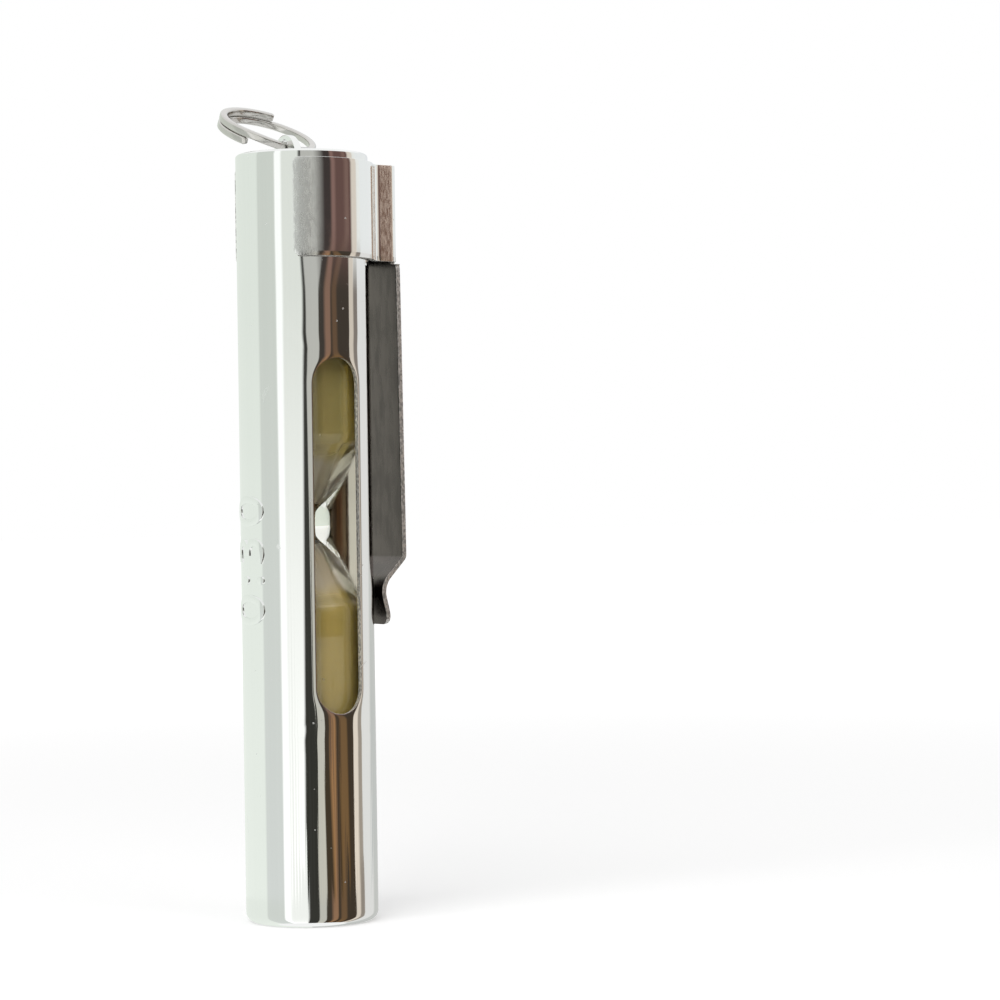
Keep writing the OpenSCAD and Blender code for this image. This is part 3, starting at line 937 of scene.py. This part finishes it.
class TIMER_OT_mark(bpy.types.Operator):
    """Builds the raised number on the back of the case, bent to the wall"""
    bl_idname = "timer.mark"
    bl_label = "Raised number"

    def execute(self, context):
        sizes = context.scene.timer_sizes
        strip, sunk = 0.6 * MM, 0.08 * MM
        words = add_object(bpy.ops.object.text_add, "figures").data
        words.body = "0:30"
        words.align_x = words.align_y = "CENTER"
        words.size, words.space_character = sizes.mark_height / FIGURE_SHARE, 1.15
        words.extrude, words.bevel_depth, words.bevel_resolution = sizes.mark_rise / 2, 0.04 * MM, 3
        words.resolution_u = 12
        bpy.ops.object.convert(target="MESH")
        piece = context.active_object
        piece.name = piece.data.name = "raised_number"
        places = points_of(piece)
        low, high = places[:, :2].min(0), places[:, :2].max(0)
        places[:, :2] = (places[:, :2] - (low + high) / 2) * (sizes.mark_height / (high - low)[1])
        put_points(piece, places)
        edit_all()
        close_up()
        for k in range(-4, 5):
            select_all()
            bpy.ops.mesh.bisect(plane_co=(0, k * strip, 0), plane_no=(0, 1, 0))
        leave_edit()
        places = points_of(piece)
        bend = places[:, 1] / sizes.case_radius
        rise = (places[:, 2] - places[:, 2].min()) / np.ptp(places[:, 2])
        out = sizes.case_radius - sunk + rise * (sizes.mark_rise + sunk)
        # The figures read upwards along the case
        put_points(piece, np.stack([-out * np.cos(bend), out * np.sin(bend), sizes.mark_middle + places[:, 0]], 1))
        smooth(piece, 40)
        coat(piece, finish("case_chrome_finish", plated, context.scene.timer_colours.chrome[:]))
        place_piece(piece, "case", "case_chrome")
        return {"FINISHED"}


class TIMER_OT_finishes(bpy.types.Operator):
    """Gives the CAD pieces that stay their finishes"""
    bl_idname = "timer.finishes"
    bl_label = "Finishes of the plain pieces"

    def execute(self, context):
        colours = context.scene.timer_colours
        sand = (colours.sand[:], colours.sand_pale[:], context.scene.timer_sizes.pale_from)
        for node, name, maker, *values in (
                ("end_cap", "cap_finish", turned_cap, colours.chrome[:]),
                ("ring_lug", "lug_finish", plated, colours.chrome[:], 0.08),
                ("sand", "sand_finish", fine_sand, *sand),
                ("lower_pad", "cork_finish", pressed_cork, colours.cork[:]),
                ("upper_pad", "cork_finish", pressed_cork, colours.cork[:])):
            coat(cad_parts[node], finish(name, maker, *values))
        lug_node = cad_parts["ring_lug"]
        weld = lug_node.modifiers.new("Weld", "WELD")
        weld.merge_threshold = MERGE
        bevel = lug_node.modifiers.new("Bevel", "BEVEL")
        bevel.width, bevel.segments, bevel.limit_method = 0.1 * MM, 3, "ANGLE"
        bevel.angle_limit = SHARP
        return {"FINISHED"}


# Stage

def direction(studio, turned, elevation=0.0):
    """A unit vector from the timer, turned from the camera's side towards the picture's right, in degrees."""
    a = math.radians(studio.camera_azimuth + turned)
    e = math.radians(elevation)
    return Vector((math.sin(a) * math.cos(e), -math.cos(a) * math.cos(e), math.sin(e)))


def seen_rays(book):
    """A mask of the rays that show a background: those of the camera and those off metal and through glass."""
    path = book.add("ShaderNodeLightPath")
    return book.largest(path["Is Camera Ray"], path["Is Glossy Ray"], path["Is Transmission Ray"])


def lit_floor(book):
    """A plain floor that shines a little of its own, less so round the timer."""
    away = book.add("ShaderNodeVectorMath", {0: book.place()}, operation="LENGTH")["Value"]
    level = book.step(away, 0.06, 0.6, 0.30, 0.62)
    return {"Base_Color": (0.8, 0.8, 0.8, 1), "Roughness": 0.9, "Specular_IOR_Level": 0.0,
            "Emission_Color": (1, 1, 1, 1), "Emission_Strength": book.times(seen_rays(book), level)}


def glow(name, streaks):
    """A board that only shines in reflections, in the tones of its mesh, slightly streaked from top to bottom."""
    material = bpy.data.materials.new(name)
    material.use_nodes = True
    book = NodeBook(material.node_tree)
    material.node_tree.nodes.remove(material.node_tree.nodes["Principled BSDF"])
    tone = book.add("ShaderNodeAttribute", attribute_name="tone")["Color"]
    level = book.step(book.noise(book.place((1, 1, 0.05)), 55.0, 2.0), 0.3, 0.7, 1 - streaks, 1 + streaks)
    shine = book.add("ShaderNodeEmission", {"Color": tone, "Strength": level})
    book.fill(material.node_tree.nodes["Material Output"], Surface=shine[0])
    return material


# Tones of the boards round the timer: low down, high up and, where it differs, at the top
TONES = {
    "mist": ((0.90, 0.95, 0.89), (0.80, 0.85, 0.79)),
    "silver": ((0.71, 0.74, 0.72), (0.65, 0.69, 0.64)),
    "white": ((1.22, 1.22, 1.22), (1.10, 1.12, 1.10)),
    "field": ((1.22, 1.22, 1.20), (0.79, 0.82, 0.77)),
    "black": ((0.034, 0.034, 0.028), (0.045, 0.045, 0.040)),
    "linen": ((0.60, 0.58, 0.50), (0.51, 0.51, 0.48)),
    "coal": ((0.056, 0.040, 0.024), (0.053, 0.046, 0.040), (0.050, 0.040, 0.038)),
    "umber": ((0.056, 0.037, 0.021), (0.053, 0.043, 0.034), (0.135, 0.078, 0.068)),
    "rust": ((0.36, 0.195, 0.085), (0.24, 0.145, 0.105), (0.24, 0.145, 0.125)),
    "amber": ((0.20, 0.115, 0.048), (0.130, 0.080, 0.050), (0.20, 0.125, 0.105)),
    "cream": ((0.86, 0.76, 0.65), (0.64, 0.57, 0.49), (0.72, 0.65, 0.57)),
    "taupe": ((0.40, 0.35, 0.29), (0.22, 0.19, 0.17), (0.86, 0.87, 0.84)),
    "pearl": ((0.80, 0.80, 0.78), (0.78, 0.77, 0.76), (0.86, 0.88, 0.88)),
    "shade": ((0.56, 0.58, 0.57), (0.60, 0.60, 0.57), (0.80, 0.82, 0.84)),
}
# The boards round the timer: a tone, how soft the board's left edge is below and at the top, and where that edge
# stands, in degrees from the camera to the picture's right, for five heights from low to high
BOARDS = [
    ("mist", 0, 0, (-180, -180, -180, -180, -180)),
    ("silver", 4, 4, (-84, -84, -84, -84, -84)),
    ("white", 3, 3, (-49, -49, -49, -48, -49)),
    ("field", 4, 4, (-37, -37, -36, -36, -37)),
    ("black", 4, 4, (-10.5, -11, -4.5, -1.5, -6)),
    ("linen", 2, 2, (12, 15.5, 13.5, 3.6, -2)),
    ("coal", 1.6, 18, (27, 23.5, 25, 25.5, 29)),
    ("rust", 5, 4, (40, 34, 35, 35.5, 49)),
    ("umber", 2.5, 4, (44, 46, 46, 46.5, 56)),
    ("amber", 4, 6, (55, 51, 50, 49, 73)),
    ("umber", 4, 2, (70, 69, 61, 58, 81)),
    ("cream", 1.5, 4, (79, 80.5, 84, 85.5, 86)),
    ("taupe", 3, 3, (91, 88.5, 94, 96, 98)),
    ("pearl", 2, 2, (100, 104, 105, 107, 106)),
    ("shade", 8, 8, (126, 140, 138, 140, 150)),
]
# The heights of the boards' rows, as the tangent of their elevation, and how far each row has the next tones
ROWS = [(-1.6, 0, 0.0), (-0.13, 0, 0.0), (-0.064, 1, 0.1), (0.066, 2, 0.65), (0.165, 3, 1.0), (0.19, 4, 2.0),
        (0.64, 4, 2.0)]


class TIMER_OT_stage(bpy.types.Operator):
    """Sets up the floor, the lamps, the panels that the metal reflects, the world and the camera"""
    bl_idname = "timer.stage"
    bl_label = "Stage"

    def execute(self, context):
        studio = context.scene.timer_studio
        self.set_camera(context, studio)
        self.set_floor(studio)
        self.set_panels(studio)
        self.set_lamps(studio)
        self.set_world(context, studio)
        context.scene.view_settings.view_transform = "Standard"
        return {"FINISHED"}

    def set_camera(self, context, studio):
        a = math.radians(studio.camera_azimuth)
        toward = Vector((math.sin(a), -math.cos(a), 0))
        yaw, pitch, roll = (math.radians(x) for x in (studio.camera_yaw, studio.camera_pitch, studio.camera_roll))
        forward = Matrix.Rotation(yaw, 3, "Z") @ -toward
        right, up = Vector((forward.y, -forward.x, 0)), Vector((0, 0, 1))
        up, forward = (up * math.cos(pitch) - forward * math.sin(pitch),
                       forward * math.cos(pitch) + up * math.sin(pitch))
        right, up = right * math.cos(roll) + up * math.sin(roll), up * math.cos(roll) - right * math.sin(roll)
        camera = add_object(bpy.ops.object.camera_add, "photo_camera")
        turned = Matrix((right, up, -forward)).transposed().to_4x4()
        place = toward * studio.camera_distance + Vector((0, 0, studio.camera_height))
        camera.matrix_world = Matrix.Translation(place) @ turned
        camera.data.sensor_width = 36
        camera.data.lens = studio.camera_lens
        camera.data.clip_start, camera.data.clip_end = 0.01, 20
        context.scene.camera = camera

    def set_floor(self, studio):
        floor = add_object(bpy.ops.mesh.primitive_plane_add, "floor", size=studio.floor_size)
        floor.visible_glossy = False
        coat(floor, finish("floor_finish", lit_floor))

    def set_panels(self, studio):
        """One curved screen of boards all round."""
        marks = []
        for i, (name, soft, soft_top, edges) in enumerate(BOARDS):
            following = BOARDS[i + 1] if i + 1 < len(BOARDS) else ("mist", 0, 0, [180] * 5)
            start = [a + s / 2 for a, s in zip(edges, [soft] * 4 + [soft_top])]
            end = [a - s / 2 for a, s in zip(following[3], [following[1]] * 4 + [following[2]])]
            pieces = max(1, int((max(end) - min(start)) / 6))
            for k in range(pieces + 1):
                marks.append((name, [a + (b - a) * k / pieces for a, b in zip(start, end)]))
        places, tones = [], []
        for name, angles in marks:
            steps = [*TONES[name], TONES[name][-1]]
            for rise, edge, share in ROWS:
                spot = direction(studio, angles[edge])
                places.append((spot.x, spot.y, rise))
                below = min(int(share), 1)
                tones.append([a + (b - a) * (share - below) for a, b in zip(steps[below], steps[below + 1])] + [1])
        piece = begin_point("surround", (studio.panel_distance, 0, 0))
        draw_on((0, 0, studio.panel_distance), len(ROWS) - 1)
        select_all()
        turn(90, len(marks) - 1, (0, 0, 0), (0, 0, 1))
        leave_edit()
        put_points(piece, np.array(places) * studio.panel_distance)
        attribute = piece.data.color_attributes.new("tone", "FLOAT_COLOR", "POINT")
        attribute.data.foreach_set("color", np.array(tones, float).ravel())
        coat(piece, glow("surround_light", 0.012))
        piece.visible_camera = piece.visible_diffuse = piece.visible_shadow = False
        piece.visible_volume_scatter = False

    def set_lamps(self, studio):
        for name, turned, elevation, distance, side, power in (
                ("key_lamp", -32, 42, 0.6, 0.45, studio.key_power),
                ("fill_lamp", 50, 30, 0.7, 0.5, studio.fill_power)):
            lamp = add_object(bpy.ops.object.light_add, name, type="AREA")
            toward = direction(studio, turned, elevation)
            lamp.matrix_world = (Matrix.Translation(toward * distance + Vector((0, 0, 40 * MM)))
                                 @ toward.to_track_quat("Z", "Y").to_matrix().to_4x4())
            lamp.data.size = side
            lamp.data.energy = power
            lamp.visible_glossy = False

    def set_world(self, context, studio):
        world = bpy.data.worlds.new("studio_world")
        world.use_nodes = True
        context.scene.world = world
        book = NodeBook(world.node_tree)
        strength = book.math("MULTIPLY_ADD", seen_rays(book), 1 - studio.world_level, studio.world_level)
        book.fill(world.node_tree.nodes["Background"], Color=(1, 1, 1, 1), Strength=strength)


class TIMER_PT_panel(bpy.types.Panel):
    """Lists the timer's pieces, sizes and colours"""
    bl_idname = "TIMER_PT_panel"
    bl_label = "Sand Timer"
    bl_space_type = "VIEW_3D"
    bl_region_type = "UI"
    bl_category = "Sand Timer"

    def draw(self, context):
        for operator in OPERATORS:
            self.layout.operator(operator.bl_idname)
        for group in (context.scene.timer_sizes, context.scene.timer_colours, context.scene.timer_studio):
            box = self.layout.box()
            for key in group.__annotations__:
                box.prop(group, key)


OPERATORS = (TIMER_OT_stage, TIMER_OT_case, TIMER_OT_clip, TIMER_OT_ring, TIMER_OT_glass, TIMER_OT_mark,
             TIMER_OT_finishes)
GROUPS = {"timer_sizes": TimerSizes, "timer_colours": TimerColours, "timer_studio": StudioSettings}


def register():
    for cls in (*GROUPS.values(), *OPERATORS, TIMER_PT_panel):
        bpy.utils.register_class(cls)
    for name, group in GROUPS.items():
        setattr(bpy.types.Scene, name, bpy.props.PointerProperty(type=group))


def unregister():
    for name in GROUPS:
        delattr(bpy.types.Scene, name)
    for cls in reversed((*GROUPS.values(), *OPERATORS, TIMER_PT_panel)):
        bpy.utils.unregister_class(cls)


def main():
    register()
    for operator in OPERATORS:
        space, name = operator.bl_idname.split(".")
        getattr(getattr(bpy.ops, space), name)()
    clear_selection()


if __name__ == "__main__":
    main()
